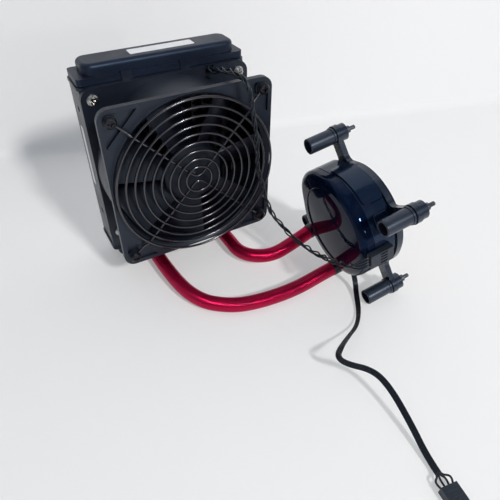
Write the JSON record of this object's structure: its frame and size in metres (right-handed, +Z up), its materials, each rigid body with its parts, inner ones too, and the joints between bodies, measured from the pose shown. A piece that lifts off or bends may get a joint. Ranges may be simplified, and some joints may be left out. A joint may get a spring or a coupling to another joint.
{
  "type": "liquid cooler",
  "caption": "Closed-loop liquid cooler: an upright radiator with a deep fan and wire guard, joined by two crimson hoses to a round black pump head with captive mounting screws",
  "frame": {"origin": "middle of the lower tank's standing face, on the table", "axes": "+Z up along the radiator's height, -Y out of the fan's front, +X from the radiator's middle towards its right side and the pump head"},
  "size_m": [0.1876, 0.3074, 0.16],
  "materials": {
    "tank": "satin black paint",
    "header": "satin black paint",
    "rubber": "matt",
    "core": "thin black paint on aluminium",
    "rail": "satin black paint",
    "label": "white film",
    "fan_plastic": "fine-grained black plastic",
    "rotor_plastic": "black plastic",
    "steel": "bright",
    "guard": "dark nickel plate",
    "black_screw": "black oxide",
    "screw": "nickel plate",
    "magnet": "ferrite",
    "coil": "stacked sheet with windings",
    "board": "green solder mask",
    "bearing": "ground",
    "housing": "glossy black",
    "cap": "mirror-glossy black",
    "inner_plastic": "dark grey",
    "copper": "ground copper",
    "bracket": "satin black paint",
    "sleeve": "semi-gloss black",
    "fitting": "black",
    "pin": "bright",
    "hose": "crimson braid under a clear skin",
    "cable": "black insulation",
    "connector": "black"
  },
  "bodies": {
    "cooler": {"bottom_gasket": "rubber", "bottom_header": "header", "bottom_tank": "tank", "cable_grommet": "rubber", "cold_plate": "copper", "elbow_long": "fitting", "elbow_short": "fitting", "fan_bearings": "bearing", "fan_board": "board", "fan_cable": "cable", "fan_frame": "fan_plastic", "fan_plug": "connector", "fan_socket": "connector", "fan_stator": "coil", "finger_guard": "guard", "guard_screws": "black_screw", "hose_collars": "rubber", "hose_long": "hose", "hose_short": "hose", "mount_ring": "bracket", "plate_screws": "screw", "plate_seal": "rubber", "power_cable": "cable", "power_connector": "connector", "pump_board": "board", "pump_cap": "cap", "pump_housing": "housing", "pump_shaft": "steel", "pump_stator": "coil", "radiator_fins": "core", "radiator_screws": "screw", "radiator_tubes": "core", "screw_sleeves": "sleeve", "screw_spring_1": "steel", "screw_spring_2": "steel", "screw_spring_3": "steel", "screw_spring_4": "steel", "side_label": "label", "side_rail_left": "rail", "side_rail_right": "rail", "socket_pins": "pin", "top_gasket": "rubber", "top_header": "header", "top_label": "label", "top_tank": "tank", "volute_plate": "inner_plastic"},
    "fan": {"fan_rotor": "rotor_plastic", "fan_shaft": "steel", "fan_magnet": "magnet"},
    "impeller": {"pump_rotor": "inner_plastic"},
    "washer_1": {"screw_washer_1": "steel"},
    "screw_1": {"captive_screw_1": "screw"},
    "washer_2": {"screw_washer_2": "steel"},
    "screw_2": {"captive_screw_2": "screw"},
    "washer_3": {"screw_washer_3": "steel"},
    "screw_3": {"captive_screw_3": "screw"},
    "washer_4": {"screw_washer_4": "steel"},
    "screw_4": {"captive_screw_4": "screw"}
  },
  "joints": [
    {"name": "fan_spin", "type": "hinge", "parent": "cooler", "child": "fan", "pos_m": [0, -0.0135, 0.085], "axis": [0, -1, 0], "continuous": true},
    {"name": "pump_spin", "type": "hinge", "parent": "cooler", "child": "impeller", "pos_m": [0.0802, -0.1148, 0.05363], "axis": [0.9809, -0.0514, 0.1874], "continuous": true},
    {"name": "screw_press_1", "type": "slide", "parent": "cooler", "child": "washer_1", "axis": [0.9809, -0.0514, 0.1874], "range_m": [0, 0.0045], "stiffness_N_per_m": 300, "springref_m": -0.01, "deforming": ["screw_spring_1"]},
    {"name": "screw_turn_1", "type": "hinge", "parent": "washer_1", "child": "screw_1", "pos_m": [0.0876, -0.14888, 0.00555], "axis": [0.9809, -0.0514, 0.1874], "continuous": true},
    {"name": "screw_press_2", "type": "slide", "parent": "cooler", "child": "washer_2", "axis": [0.9809, -0.0514, 0.1874], "range_m": [0, 0.0045], "stiffness_N_per_m": 300, "springref_m": -0.01, "deforming": ["screw_spring_2"]},
    {"name": "screw_turn_2", "type": "hinge", "parent": "washer_2", "child": "screw_2", "pos_m": [0.07134, -0.16335, 0.08668], "axis": [0.9809, -0.0514, 0.1874], "continuous": true},
    {"name": "screw_press_3", "type": "slide", "parent": "cooler", "child": "washer_3", "axis": [0.9809, -0.0514, 0.1874], "range_m": [0, 0.0045], "stiffness_N_per_m": 300, "springref_m": -0.01, "deforming": ["screw_spring_3"]},
    {"name": "screw_turn_3", "type": "hinge", "parent": "washer_3", "child": "screw_3", "pos_m": [0.08906, -0.06625, 0.02059], "axis": [0.9809, -0.0514, 0.1874], "continuous": true},
    {"name": "screw_press_4", "type": "slide", "parent": "cooler", "child": "washer_4", "axis": [0.9809, -0.0514, 0.1874], "range_m": [0, 0.0045], "stiffness_N_per_m": 300, "springref_m": -0.01, "deforming": ["screw_spring_4"]},
    {"name": "screw_turn_4", "type": "hinge", "parent": "washer_4", "child": "screw_4", "pos_m": [0.0728, -0.08072, 0.10172], "axis": [0.9809, -0.0514, 0.1874], "continuous": true}
  ]
}
